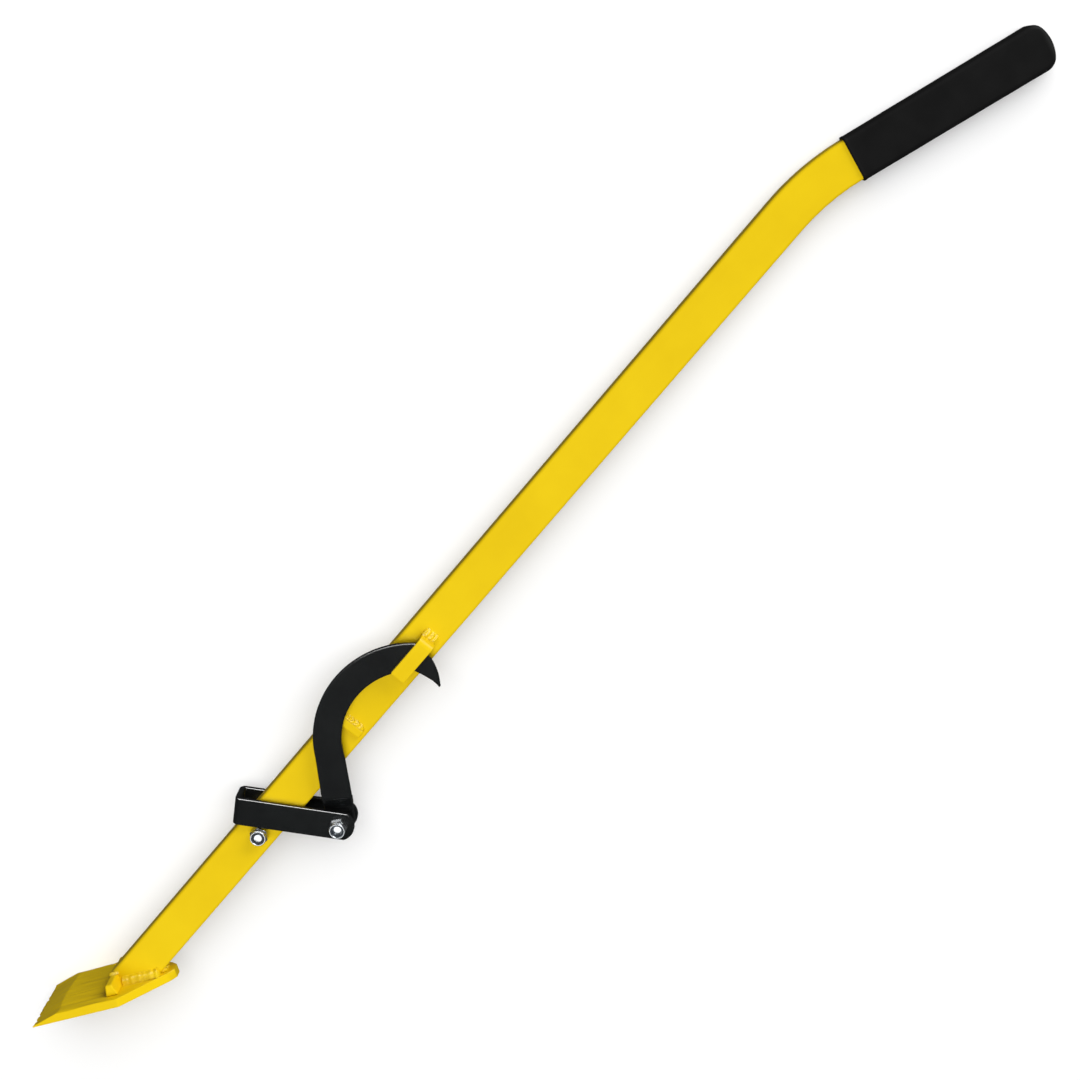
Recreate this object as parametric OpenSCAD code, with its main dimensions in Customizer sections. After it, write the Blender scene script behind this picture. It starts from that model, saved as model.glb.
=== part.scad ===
// Felling lever: a long cranked steel lever with a wedge foot at one end, a
// sleeve grip at the other, and a log hook on a loop round its lower third.
//
// The lever lies on its side. X runs along the straight tube to the grip, Z is
// square to the tube's wide face and points up, Y is the side that the foot's
// blade points to. The origin is where the tube's middle line meets the sole.

/* [Tube] */
// Width of the rectangular tube, across the lever
tube_w = 40; // [36:1:44]
// Thickness of the tube, square to the lever's flat side
tube_t = 20; // [18:1:22]
// Wall of the tube
tube_wall = 2; // [1.5:0.5:3]
// Outside corner radius of the tube
tube_corner_r = 3; // [2:0.5:4]
// Where the crank starts, measured along the straight tube
crank_x = 1049; // [1000:1:1100]
// Radius of the crank at the tube's middle line
crank_r = 230; // [200:5:300]
// Angle of the crank
crank_angle = 19.1; // [15:0.1:24]

/* [Grip] */
// Length of the grip sleeve
grip_len = 198.3; // [170:0.1:220]
// Thickness of the sleeve's skin on the tube
grip_skin = 2; // [1.5:0.25:3]
// Thickness of the sleeve's closed end
grip_end = 14; // [13:1:20]
// Radius of the sleeve's domed end
grip_dome_r = 32; // [28:1:40]
// Radius between the dome and the sleeve's sides
grip_end_r = 13; // [8:1:14]
// Corner radius of the sleeve's section
grip_corner_r = 5; // [4:0.5:6]

/* [Foot] */
// Angle between the foot plate and the tube
foot_angle = 34.8; // [30:0.1:40]
// Width of the foot plate
foot_w = 80; // [70:1:90]
// Thickness of the foot plate
foot_t = 10; // [8:1:12]
// Length of the plate from the tube's middle line to the cutting edge
foot_front = 86.5; // [80:0.5:100]
// Length of the plate from the tube's middle line to the heel
foot_back = 64.5; // [62:0.5:70]
// Length of the ground bevel on top of the plate
bevel_len = 30; // [20:1:40]
// Thickness left at the cutting edge
edge_t = 0.8; // [0.5:0.1:1.5]
// Distance behind the tube's middle line where the plate starts to narrow
taper_start = 8.7; // [0:0.1:15]
// Width of the heel
heel_w = 22.5; // [22:0.5:30]
// Number of teeth along the cutting edge
edge_teeth = 8; // [5:1:12]
// Depth of the notches between the teeth
tooth_depth = 1.6; // [1:0.1:3]
// Height of the stop rib on the plate
rib_h = 12.8; // [10:0.1:16]
// Width of the stop rib where it stands on the plate
rib_base = 13.4; // [10:0.1:16]
// Width of the stop rib's top
rib_top = 7; // [6:0.5:10]
// Length of the stop rib across the plate
rib_len = 58; // [50:1:66]
// Shift of the stop rib towards the lever's nut side
rib_shift = 3; // [0:0.5:6]
// Distance behind the tube's middle line where the stop rib starts
rib_back = 9.3; // [8:0.1:11]
// Leg of the weld beads round the tube's foot
foot_weld_leg = 5; // [4:0.5:7]

/* [Log hook and its loop] */
// Distance of the loop's stop bolt along the tube
stop_x = 244.4; // [235:0.1:255]
// Offset of the stop bolt from the tube's middle line
stop_y = -3.3; // [-5:0.1:0]
// Where the hook's pivot lies along the tube
pivot_x = 306; // [300:0.1:312]
// Where the hook's pivot lies beside the tube
pivot_y = -58.8; // [-62:0.1:-57]
// Angle between the loop's arms and the tube
loop_angle = 58.9; // [57:0.1:61]
// Width of the flat bar of the loop
loop_w = 29; // [28:1:31]
// Thickness of the flat bar of the loop
loop_t = 5; // [4:0.5:6]
// Gap between the loop's arms
loop_gap = 22.6; // [22.6:0.2:24]
// Distance from the pivot to the inside of the loop's closed end
loop_reach = 102.8; // [102:0.1:110]
// Sideways offset of the loop's arms from the pivot
loop_shift = 0.3; // [0:0.1:1.5]
// Width of the hook's bar in its curve
hook_w = 28.8; // [26:0.1:31]
// Width of the hook's eye
hook_eye_w = 30; // [28:1:30]
// Thickness of the hook
hook_t = 6; // [5:0.5:6.5]
// Height of the hook's back over the tube's face
hook_lift = 4.5; // [4.3:0.1:5]
// Middle radius of the hook's curve
hook_r = 89.2; // [86:0.1:91]
// Place of the curve's centre along the tube
hook_cx = 432; // [430:0.1:436]
// Place of the curve's centre beside the tube
hook_cy = -60.5; // [-62:0.1:-58]
// Diameter of the two bolts
bolt_d = 10; // [8:1:10]
// Width across flats of the nuts and bolt heads
hex_af = 17; // [15:1:17]
// Clearance all round the pivot bolt in the hook's eye
eye_gap = 0.08; // [0.04:0.01:0.1]

/* [Keeper and cross stop] */
// Width of the keeper strap
keeper_w = 16; // [14:1:18]
// Thickness of the keeper strap
keeper_t = 4; // [3:0.5:5]
// Free end of the keeper strap along the tube
keeper_x0 = 474; // [470:1:482]
// Welded end of the keeper strap along the tube
keeper_x1 = 521.8; // [521:0.1:530]
// Middle of the keeper strap across the tube
keeper_y = -3.7; // [-6:0.1:0]
// Where the cross stop starts along the tube
cross_x = 394; // [392:1:400]
// Width of the cross stop along the tube
cross_w = 9.5; // [7:0.5:11]
// Length of the cross stop across the tube
cross_len = 31; // [26:1:33]
// Height of the cross stop on the tube
cross_h = 4; // [3:0.5:4]

/* [Hidden] */
$fn = 64;

yellow = [0.95, 0.80, 0.06];
gloss_black = [0.10, 0.10, 0.11];
zinc = [0.78, 0.80, 0.82];
nylon = [0.20, 0.24, 0.30];
matte_black = [0.16, 0.16, 0.16];

face_z = tube_t / 2;

// Bolts, nuts and their holes
head_h = 6.4;
nut_h = 11;
nut_hex_h = 7;
nut_collar_d = 16.4;
nut_bore = bolt_d + 0.1;
ring_seat_d = 13.4;
ring_seat_h = 2.6;
ring_h = 2.2;
stop_bolt_len = 30;
pivot_bolt_len = 40;
bolt_hole = bolt_d + 0.5;
hex_r = hex_af / 2 / cos(30);

// Grip: its middle line starts where the crank ends
grip_start = 0.2;
handle_len = grip_start + grip_len - grip_end;
sleeve_slack = 0.4;

// Foot: where the tube and the stop rib meet the plate
rib_top_w = foot_t + rib_h;
rib_front = rib_base - rib_back;
rib_slope = (rib_base - rib_top) / 2;
tube_heel = (tube_w / 2 + foot_t * cos(foot_angle)) / sin(foot_angle);

// Loop and hook, along the shank from the pivot
arm_end_r = 16;
arm_outer_z = loop_gap / 2 + loop_t;
bend_in_r = 1.5;
hook_z = face_z + hook_lift;
hook_dist = norm([hook_cx - pivot_x, hook_cy - pivot_y]);
shank_len = sqrt(pow(hook_dist, 2) - pow(hook_r, 2));
shank_angle = atan2(hook_cy - pivot_y, hook_cx - pivot_x) + asin(hook_r / hook_dist);
eye_d = bolt_d + 2 * eye_gap;
hook_out_r = hook_r + hook_w / 2;
hook_in_r = hook_r - hook_w / 2;
crank_out = 32.5;
crank_in = 18;
shank_up = 12.7;
shank_down = 18;
tip_cx = 455;
tip_cy = 1;
tip_r = 57.45;
tip_angle = 39.2;
tip_x = 491.9;
tip_y = -42.2;

keeper_low = hook_z + hook_t + 0.6;
keeper_top = keeper_low + keeper_t;
keeper_bend = 2.5;

// Places a shape drawn along the foot plate: X towards the cutting edge,
// Y up from the sole, Z across the plate
module on_foot() {
    multmatrix([[-cos(foot_angle), sin(foot_angle), 0, 0],
                [sin(foot_angle), cos(foot_angle), 0, 0],
                [0, 0, 1, 0],
                [0, 0, 0, 1]])
        children();
}

// Places a shape drawn from the pivot along the loop: X towards its closed end
module on_loop() {
    translate([pivot_x, pivot_y, 0])
        rotate([0, 0, 180 - loop_angle])
            children();
}

// Places a shape drawn from the pivot along the hook's shank
module on_shank() {
    translate([pivot_x, pivot_y, 0])
        rotate([0, 0, shank_angle])
            children();
}

// Places a shape where the crank ends, X along the grip
module on_handle() {
    translate([crank_x, -crank_r, 0])
        rotate([0, 0, -crank_angle])
            translate([0, crank_r, 0])
                children();
}

// Rectangle with round corners, about the origin
module round_rect(w, h, r) {
    square([w - 2 * r, h], center = true);
    square([w, h - 2 * r], center = true);
    for (x = [-1, 1], y = [-1, 1])
        translate([x * (w / 2 - r), y * (h / 2 - r)])
            circle(r);
}

// Solid bar of the tube's outline or bore along X
module straight_bar(len, w, h, r) {
    rotate([90, 0, 90])
        linear_extrude(len)
            round_rect(w, h, r);
}

// Tube, straight from before the foot, through the crank, to inside the grip,
// where the sleeve hides it and it is a little smaller
module tube_run(w, h, r, extra) {
    translate([-120, 0, 0])
        straight_bar(crank_x + 120, w, h, r);
    translate([crank_x, -crank_r, 0])
        rotate([0, 0, 90])
            rotate_extrude(angle = -crank_angle, $fn = 180)
                translate([crank_r, 0])
                    round_rect(w, h, r);
    on_handle()
        translate([-4, 0, 0])
            straight_bar(handle_len + extra + 4, w - sleeve_slack, h - sleeve_slack, r);
}

// Everything the tube's foot is cut back to: the plate and the stop rib
module foot_cut() {
    far = 400;
    on_foot()
        linear_extrude(2 * tube_t, center = true)
            polygon([[-far, -far], [far, -far], [far, far], [rib_front - rib_slope, far],
                     [rib_front - rib_slope, rib_top_w], [rib_slope - rib_back, rib_top_w],
                     [-rib_back, foot_t], [-far, foot_t]]);
}

module lever_tube() {
    color(yellow)
        difference() {
            tube_run(tube_w, tube_t, tube_corner_r, 0);
            tube_run(tube_w - 2 * tube_wall, tube_t - 2 * tube_wall, tube_corner_r - tube_wall, 1);
            foot_cut();
            translate([stop_x, stop_y, -tube_t])
                cylinder(h = 2 * tube_t, d = bolt_hole);
        }
}

// Sleeve with one closed end, slipped over the end of the tube
module grip_sleeve() {
    w = tube_w + 2 * grip_skin;
    t = tube_t + 2 * grip_skin;
    color(matte_black)
        on_handle()
            difference() {
                intersection() {
                    translate([grip_start, 0, 0])
                        straight_bar(grip_len, w, t, grip_corner_r);
                    linear_extrude(t, center = true)
                        grip_outline(w);
                    rotate([90, 0, 0])
                        linear_extrude(w, center = true)
                            grip_side(t);
                }
                translate([grip_start - 1, 0, 0])
                    straight_bar(grip_len - grip_end + 1, tube_w, tube_t, tube_corner_r);
            }
}

// Sleeve seen from above, with its domed end
module grip_outline(w) {
    dome_x = grip_start + grip_len - grip_dome_r;
    corner_y = w / 2 - grip_end_r;
    corner_x = dome_x + sqrt(pow(grip_dome_r - grip_end_r, 2) - pow(corner_y, 2));
    dome_y = corner_y * grip_dome_r / (grip_dome_r - grip_end_r);
    translate([grip_start, -w / 2])
        square([corner_x - grip_start, w]);
    for (y = [-1, 1])
        translate([corner_x, y * corner_y])
            circle(grip_end_r);
    intersection() {
        translate([dome_x, 0])
            circle(grip_dome_r);
        translate([corner_x - 1, -dome_y])
            square([grip_dome_r, 2 * dome_y]);
    }
}

// Sleeve seen from the side, with round corners at its end
module grip_side(t) {
    r = 6;
    translate([grip_start, -t / 2])
        square([grip_len - r, t]);
    translate([grip_start, r - t / 2])
        square([grip_len, t - 2 * r]);
    for (z = [-1, 1])
        translate([grip_start + grip_len - r, z * (t / 2 - r)])
            circle(r);
}

// Side of the plate: sole along the bottom, bevel down to the cutting edge
module foot_side() {
    polygon([[-foot_back, 0], [foot_front, 0], [foot_front, edge_t],
             [foot_front - bevel_len, foot_t], [-foot_back, foot_t]]);
}

// Plate seen from above: parallel to behind the tube, then narrowing to the heel
module foot_outline() {
    half = foot_w / 2;
    heel = heel_w / 2;
    chamfer = 6;
    pitch = foot_w / edge_teeth;
    difference() {
        polygon([[foot_front, -half], [foot_front, half], [-taper_start, half],
                 [-foot_back + chamfer, heel], [-foot_back, heel - chamfer],
                 [-foot_back, chamfer - heel], [-foot_back + chamfer, -heel], [-taper_start, -half]]);
        for (i = [1 : edge_teeth - 1])
            translate([foot_front, -half + i * pitch])
                rotate(45)
                    square(tooth_depth * sqrt(2), center = true);
    }
}

module foot_plate() {
    color(yellow)
        on_foot()
            intersection() {
                linear_extrude(foot_w, center = true)
                    foot_side();
                rotate([-90, 0, 0])
                    linear_extrude(foot_t)
                        foot_outline();
            }
}

// Bar across the plate that keeps the blade from going too deep
module stop_rib() {
    color(yellow)
        on_foot()
            translate([0, foot_t, rib_shift])
                linear_extrude(rib_len, center = true)
                    polygon([[-rib_back, 0], [rib_front, 0],
                             [rib_front - rib_slope, rib_h], [rib_slope - rib_back, rib_h]]);
}

// Three-sided bead along X, its square corner on the origin
module bead(len, leg_y, leg_z) {
    rotate([90, 0, 90])
        linear_extrude(len)
            polygon([[0, 0], [leg_y, 0], [0, leg_z]]);
}

// Bead between the plate and one of the tube's wide faces
module side_foot_weld(side) {
    color(yellow)
        on_foot()
            translate([-tube_heel, foot_t, side * face_z])
                bead(tube_heel - rib_back, foot_weld_leg, side * foot_weld_leg);
}

// Bead in the narrow corner behind the tube, across the heel
module heel_weld() {
    leg = 8;
    color(yellow)
        on_foot()
            translate([-tube_heel, foot_t, 0])
                linear_extrude(tube_t - 2 * tube_corner_r, center = true)
                    polygon([[0, 0], [-leg, 0], [-leg * cos(foot_angle), leg * sin(foot_angle)]]);
}

// Beads between the stop rib's top and the tube's wide faces
module rib_weld() {
    leg = 4;
    color(yellow)
        for (side = [-1, 1])
            on_foot()
                translate([rib_slope - rib_back, rib_top_w, side * face_z])
                    bead(rib_top - 1, leg, side * leg);
}

// Strap over the hook: a flat part along the tube and a leg welded to the tube
module keeper_strap() {
    out_r = keeper_bend + keeper_t;
    color(yellow)
        translate([0, keeper_y + keeper_w / 2, 0])
            rotate([90, 0, 0])
                linear_extrude(keeper_w) {
                    translate([keeper_x0, keeper_low])
                        square([keeper_x1 - out_r - keeper_x0, keeper_t]);
                    translate([keeper_x1 - keeper_t, face_z])
                        square([keeper_t, keeper_top - out_r - face_z]);
                    intersection() {
                        translate([keeper_x1 - out_r, keeper_top - out_r])
                            difference() {
                                circle(out_r);
                                circle(keeper_bend);
                            }
                        translate([keeper_x1 - out_r, keeper_top - out_r])
                            square(out_r);
                    }
                }
}

module keeper_weld() {
    leg = 8;
    color(yellow)
        translate([keeper_x1, keeper_y - keeper_w / 2, face_z])
            mirror([1, -1, 0])
                bead(keeper_w, leg, 5);
}

module cross_stop() {
    color(yellow)
        translate([cross_x, -cross_len / 2, face_z])
            cube([cross_w, cross_len, cross_h]);
}

module cross_stop_weld() {
    leg = 3.4;
    color(yellow)
        translate([cross_x + cross_w, -cross_len / 2 + 2, face_z])
            mirror([1, -1, 0])
                bead(cross_len - 4, leg, leg);
}

// Hexagon-headed bolt along Z with its head under z = 0
module hex_bolt(len, turn) {
    chamfer = 1;
    rotate([0, 0, turn])
        translate([0, 0, -head_h])
            cylinder(h = head_h, r = hex_r, $fn = 6);
    cylinder(h = len - chamfer, d = bolt_d);
    translate([0, 0, len - chamfer])
        cylinder(h = chamfer, d1 = bolt_d, d2 = bolt_d - 2 * chamfer);
}

// Lock nut along Z: a hexagon, and a round collar with a seat for its ring
module lock_nut(turn) {
    difference() {
        union() {
            rotate([0, 0, turn])
                cylinder(h = nut_hex_h, r = hex_r, $fn = 6);
            translate([0, 0, nut_hex_h - 2])
                cylinder(h = nut_h - nut_hex_h + 2, d = nut_collar_d);
        }
        translate([0, 0, -1])
            cylinder(h = nut_h + 2, d = nut_bore);
        translate([0, 0, nut_h - ring_seat_h])
            cylinder(h = ring_seat_h + 1, d = ring_seat_d);
    }
}

// Ring of nylon in the nut's collar, which grips the thread
module lock_ring() {
    translate([0, 0, nut_h - ring_seat_h])
        difference() {
            cylinder(h = ring_h, d = ring_seat_d - 0.1);
            translate([0, 0, -1])
                cylinder(h = ring_h + 2, d = nut_bore);
        }
}

// A flat of the stop bolt's hexagon faces the loop's arm halfway through its swing
stop_turn = 60 - loop_angle + 15 - 90;

module stop_bolt() {
    color(zinc)
        translate([stop_x, stop_y, -face_z])
            hex_bolt(stop_bolt_len, stop_turn);
}

module stop_nut() {
    color(zinc)
        translate([stop_x, stop_y, face_z])
            lock_nut(stop_turn);
}

module stop_nut_ring() {
    color(nylon)
        translate([stop_x, stop_y, face_z])
            lock_ring();
}

module pivot_bolt() {
    color(zinc)
        translate([pivot_x, pivot_y, -arm_outer_z])
            hex_bolt(pivot_bolt_len, 0);
}

module pivot_nut() {
    color(zinc)
        translate([pivot_x, pivot_y, arm_outer_z])
            lock_nut(20);
}

module pivot_nut_ring() {
    color(nylon)
        translate([pivot_x, pivot_y, arm_outer_z])
            lock_ring();
}

// Half of the loop's side view: one arm and half of the closed end
module loop_half() {
    in_z = loop_gap / 2;
    out_r = bend_in_r + loop_t;
    mid_x = loop_reach - bend_in_r;
    translate([-arm_end_r - 1, in_z])
        square([arm_end_r + 1 + mid_x, loop_t]);
    translate([loop_reach, 0])
        square([loop_t, in_z - bend_in_r]);
    intersection() {
        translate([mid_x, in_z - bend_in_r])
            difference() {
                circle(out_r);
                circle(bend_in_r);
            }
        translate([mid_x, in_z - bend_in_r])
            square(out_r);
    }
}

// Loop round the tube: two arms with a pivot hole, joined by a closed end
module loop_strap() {
    color(gloss_black)
        on_loop()
            difference() {
                translate([0, -loop_shift, 0])
                    intersection() {
                        rotate([90, 0, 0])
                            linear_extrude(loop_w, center = true) {
                                loop_half();
                                mirror([0, 1])
                                    loop_half();
                            }
                        union() {
                            cylinder(h = 2 * arm_outer_z + 2, r = arm_end_r, center = true);
                            translate([0, -arm_end_r, -arm_outer_z - 1])
                                cube([loop_reach + 2 * loop_t, 2 * arm_end_r, 2 * arm_outer_z + 2]);
                        }
                    }
                cylinder(h = 2 * arm_outer_z + 2, d = bolt_hole, center = true);
            }
}

// Side view of the hook's shank: eye in the middle of the loop, cranked up to
// clear the tube's face
module shank_side() {
    half = hook_t / 2;
    polygon([[-hook_eye_w, -half], [crank_in + 2, -half], [crank_out + 2, hook_z],
             [shank_len + 4, hook_z], [shank_len + 4, hook_z + hook_t],
             [crank_out, hook_z + hook_t], [crank_in, half], [-hook_eye_w, half]]);
}

// Shank seen along the pivot bolt, from the round eye to the start of the curve
module shank_outline() {
    eye_r = hook_eye_w / 2;
    circle(eye_r);
    polygon([[0, eye_r], [crank_in, eye_r], [crank_out, shank_up], [shank_len, hook_w / 2 - 0.3],
             [shank_len + 4, -hook_w / 2], [crank_out, -shank_down], [crank_in, -eye_r], [0, -eye_r]]);
}

// Curve of the hook, seen from above. It starts inside the end of the shank.
module hook_curve() {
    far = 2 * hook_out_r;
    lap = 6.5;
    translate([hook_cx, hook_cy])
        difference() {
            circle(hook_out_r, $fn = 180);
            circle(hook_in_r, $fn = 180);
            rotate(shank_angle + 90 + lap)
                translate([-far, 0])
                    square([2 * far, far]);
            rotate(tip_angle)
                translate([-far, -far])
                    square([2 * far, far]);
        }
}

// Pointed end of the hook, seen from above
module hook_tip() {
    start = tip_angle + 1;
    intersection() {
        translate([hook_cx, hook_cy])
            circle(hook_out_r, $fn = 180);
        translate([tip_cx, tip_cy])
            circle(tip_r, $fn = 180);
        polygon([[hook_cx + hook_in_r * cos(start), hook_cy + hook_in_r * sin(start)],
                 [tip_x - 0.7, tip_y + 20.6], [tip_x + 0.8, tip_y + 9.6], [tip_x, tip_y],
                 [tip_x + 40, tip_y], [tip_x + 40, tip_cy + tip_r],
                 [hook_cx + hook_out_r * cos(start), hook_cy + hook_out_r * sin(start)]]);
    }
}

module log_hook() {
    color(gloss_black)
        on_shank()
            difference() {
                union() {
                    intersection() {
                        rotate([90, 0, 0])
                            linear_extrude(2 * hook_eye_w, center = true)
                                shank_side();
                        linear_extrude(6 * hook_z, center = true)
                            shank_outline();
                    }
                    translate([0, 0, hook_z])
                        linear_extrude(hook_t)
                            rotate(-shank_angle)
                                translate([-pivot_x, -pivot_y]) {
                                    hook_curve();
                                    hook_tip();
                                }
                }
                cylinder(h = hook_t + 2, d = eye_d, center = true);
            }
}

lever_tube();
grip_sleeve();
foot_plate();
stop_rib();
side_foot_weld(1);  // front_foot_weld
side_foot_weld(-1);  // back_foot_weld
heel_weld();
rib_weld();
keeper_strap();
keeper_weld();
cross_stop();
cross_stop_weld();
stop_bolt();
stop_nut();
stop_nut_ring();
loop_strap();
pivot_bolt();
pivot_nut();
pivot_nut_ring();
log_hook();
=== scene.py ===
# %% [markdown]
# A felling lever is a long steel bar for tipping a tree over its hinge of wood
# and for rolling the log afterwards. This lesson dresses its finished CAD
# model. The tube, the hook, the loop and three smaller parts keep their exact
# shapes and get real finishes, five of them with rounded edges too. The pieces
# that a CAD solid only hints at, such as weld beads, bolts and the dipped grip,
# are modelled here.
# The CAD parts come first, because everything else is placed against them.

# %% Load the frame
import math

import bmesh
import bpy
from mathutils import Matrix, Vector, noise


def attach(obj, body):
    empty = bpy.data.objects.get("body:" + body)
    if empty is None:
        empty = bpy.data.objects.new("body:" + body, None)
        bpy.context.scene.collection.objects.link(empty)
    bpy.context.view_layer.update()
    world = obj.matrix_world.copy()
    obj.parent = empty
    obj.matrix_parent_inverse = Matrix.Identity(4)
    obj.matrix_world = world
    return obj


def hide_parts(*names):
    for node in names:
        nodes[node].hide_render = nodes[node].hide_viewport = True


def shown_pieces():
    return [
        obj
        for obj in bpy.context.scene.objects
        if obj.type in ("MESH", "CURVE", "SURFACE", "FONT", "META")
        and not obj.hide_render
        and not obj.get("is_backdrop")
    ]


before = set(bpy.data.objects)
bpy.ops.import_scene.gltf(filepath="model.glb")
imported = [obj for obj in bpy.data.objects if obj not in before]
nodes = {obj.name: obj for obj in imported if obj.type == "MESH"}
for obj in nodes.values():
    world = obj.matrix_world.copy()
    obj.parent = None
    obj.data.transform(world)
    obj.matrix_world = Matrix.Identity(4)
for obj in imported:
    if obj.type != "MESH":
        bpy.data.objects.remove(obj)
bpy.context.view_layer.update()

# %% [markdown]
# The model is drawn in metres, but a workshop thinks in millimetres, so one
# small function turns millimetres into a Blender vector. Two places on the
# lever lie at an angle to the tube: the foot plate and the grip. Each has a
# matrix, so that a piece is drawn in simple directions and then put in its
# place.

# %% Units and places
MM = 0.001
FOOT_ANGLE = math.radians(34.8)
CRANK_START = 1049
CRANK_RADIUS = 230
CRANK_ANGLE = math.radians(19.1)


def mm(x, y, z):
    return Vector((x, y, z)) * MM


def place(along, up, across, origin):
    rotation = Matrix((along, up, across)).transposed().to_4x4()
    return Matrix.Translation(origin) @ rotation


Z_UP = Vector((0, 0, 1))
on_foot = place(Vector((-math.cos(FOOT_ANGLE), math.sin(FOOT_ANGLE), 0)),
                Vector((math.sin(FOOT_ANGLE), math.cos(FOOT_ANGLE), 0)), Z_UP, mm(0, 0, 0))
handle_along = Vector((math.cos(CRANK_ANGLE), -math.sin(CRANK_ANGLE), 0))
handle_across = Vector((math.sin(CRANK_ANGLE), math.cos(CRANK_ANGLE), 0))
handle_start = mm(CRANK_START, -CRANK_RADIUS, 0) + handle_across * CRANK_RADIUS * MM
on_handle = place(handle_along, handle_across, Z_UP, handle_start)
print("the grip starts at", [round(v / MM, 1) for v in handle_start])

# %% [markdown]
# A colour is picked as a hex value in sRGB, the way a paint chart or a photo
# shows it. Shaders calculate in linear light, so every colour goes through one
# function. A second function adds a shader node, sets its values and joins its
# links, and a third starts a material with its main shader.

# %% Colours and shader nodes
def linear(hex_colour):
    values = [int(hex_colour[i:i + 2], 16) / 255 for i in (1, 3, 5)]
    return tuple(v / 12.92 if v < 0.04045 else ((v + 0.055) / 1.055) ** 2.4 for v in values) + (1,)


def add(tree, kind, settings=None, links=None):
    node = tree.nodes.new(kind)
    for name, value in (settings or {}).items():
        if isinstance(name, int) or name in node.inputs:
            node.inputs[name].default_value = value
        else:
            setattr(node, name, value)
    for name, source in (links or {}).items():
        tree.links.new(source, node.inputs[name])
    return node


def new_material(name, shader_settings):
    material = bpy.data.materials.new(name)
    material.use_nodes = True
    tree = material.node_tree
    tree.nodes.clear()
    shader = add(tree, "ShaderNodeBsdfPrincipled", shader_settings)
    add(tree, "ShaderNodeOutputMaterial", links={"Surface": shader.outputs["BSDF"]})
    place_in_metres = add(tree, "ShaderNodeTexCoord").outputs["Object"]
    return material, tree, shader, place_in_metres


print("check of the colour function, mid grey:", round(linear("#808080")[0], 3))

# %% [markdown]
# The lever is powder coated: dry polyester powder is sprayed on the steel and
# baked, which melts it to a thick, tough, slightly wavy skin. The eye sees an
# even, strong yellow with soft highlights that tremble a little, the "orange
# peel". Its waves are 1 to 3 mm long and only hundredths of a millimetre high.
# Here they are drawn 2.5 mm long, so that they show. The coat is a plastic, so
# it isn't metallic and its IOR is 1.5. A slow noise shifts the yellow slightly
# over about 60 mm, as the skin is thicker or thinner.

# %% Yellow powder coat
powder_coat, tree, shader, at = new_material(
    "yellow_powder_coat", {"Metallic": 0.0, "IOR": 1.5, "Specular IOR Level": 0.3})
cloud = add(tree, "ShaderNodeTexNoise", {"Scale": 16.0, "Detail": 3.0, "Roughness": 0.55},
            {"Vector": at})
shade = add(tree, "ShaderNodeValToRGB", links={"Fac": cloud.outputs["Fac"]})
shade.color_ramp.elements[0].position = 0.32
shade.color_ramp.elements[0].color = linear("#EBC708")
shade.color_ramp.elements[1].position = 0.68
shade.color_ramp.elements[1].color = linear("#F1CE0C")
tree.links.new(shade.outputs["Color"], shader.inputs["Base Color"])
gloss = add(tree, "ShaderNodeTexNoise", {"Scale": 45.0, "Detail": 2.0}, {"Vector": at})
rough = add(tree, "ShaderNodeMapRange", {"To Min": 0.32, "To Max": 0.44},
            {"Value": gloss.outputs["Fac"]})
tree.links.new(rough.outputs["Result"], shader.inputs["Roughness"])
peel = add(tree, "ShaderNodeTexNoise", {"Scale": 400.0, "Detail": 1.0}, {"Vector": at})
wavy = add(tree, "ShaderNodeBump", {"Strength": 0.35, "Distance": 0.15 * MM},
           {"Height": peel.outputs["Fac"]})
tree.links.new(wavy.outputs["Normal"], shader.inputs["Normal"])
print("made", powder_coat.name)

# %% [markdown]
# The hook and its loop are sprayed with black enamel, a wet paint that flows
# out smoother and glossier than powder. Flat faces look deep black, and only
# the rounded edges catch a thin bright line. The flow leaves faint waves about
# 7 mm long. A little dust lies in such paint, which a noise in the roughness
# gives, in patches of 1 to 5 mm. IOR 1.5 again, as for all paints.

# %% Gloss black enamel
enamel, tree, shader, at = new_material(
    "gloss_black_enamel", {"Metallic": 0.0, "IOR": 1.5, "Specular IOR Level": 0.5})
cloud = add(tree, "ShaderNodeTexNoise", {"Scale": 30.0, "Detail": 4.0}, {"Vector": at})
shade = add(tree, "ShaderNodeValToRGB", links={"Fac": cloud.outputs["Fac"]})
shade.color_ramp.elements[0].position = 0.3
shade.color_ramp.elements[0].color = linear("#0E1011")
shade.color_ramp.elements[1].position = 0.75
shade.color_ramp.elements[1].color = linear("#151818")
tree.links.new(shade.outputs["Color"], shader.inputs["Base Color"])
dust = add(tree, "ShaderNodeTexNoise", {"Scale": 220.0, "Detail": 3.0}, {"Vector": at})
rough = add(tree, "ShaderNodeMapRange", {"To Min": 0.20, "To Max": 0.27},
            {"Value": dust.outputs["Fac"]})
tree.links.new(rough.outputs["Result"], shader.inputs["Roughness"])
flow = add(tree, "ShaderNodeTexNoise", {"Scale": 140.0, "Detail": 1.0}, {"Vector": at})
wavy = add(tree, "ShaderNodeBump", {"Strength": 0.15, "Distance": 0.06 * MM},
           {"Height": flow.outputs["Fac"]})
tree.links.new(wavy.outputs["Normal"], shader.inputs["Normal"])
print("made", enamel.name)

# %% [markdown]
# Bolts and nuts are steel with electroplated zinc, passivated to a bright
# silver with a breath of blue. It is a metal, so Metallic is 1 and the IOR
# stays at its default. The cold-forged faces aren't polished, so the roughness
# is middling and varies in patches of about 3 mm. Real scuffs are a few tenths
# of a millimetre wide, and are drawn 1 mm wide, so that they show.

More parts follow.
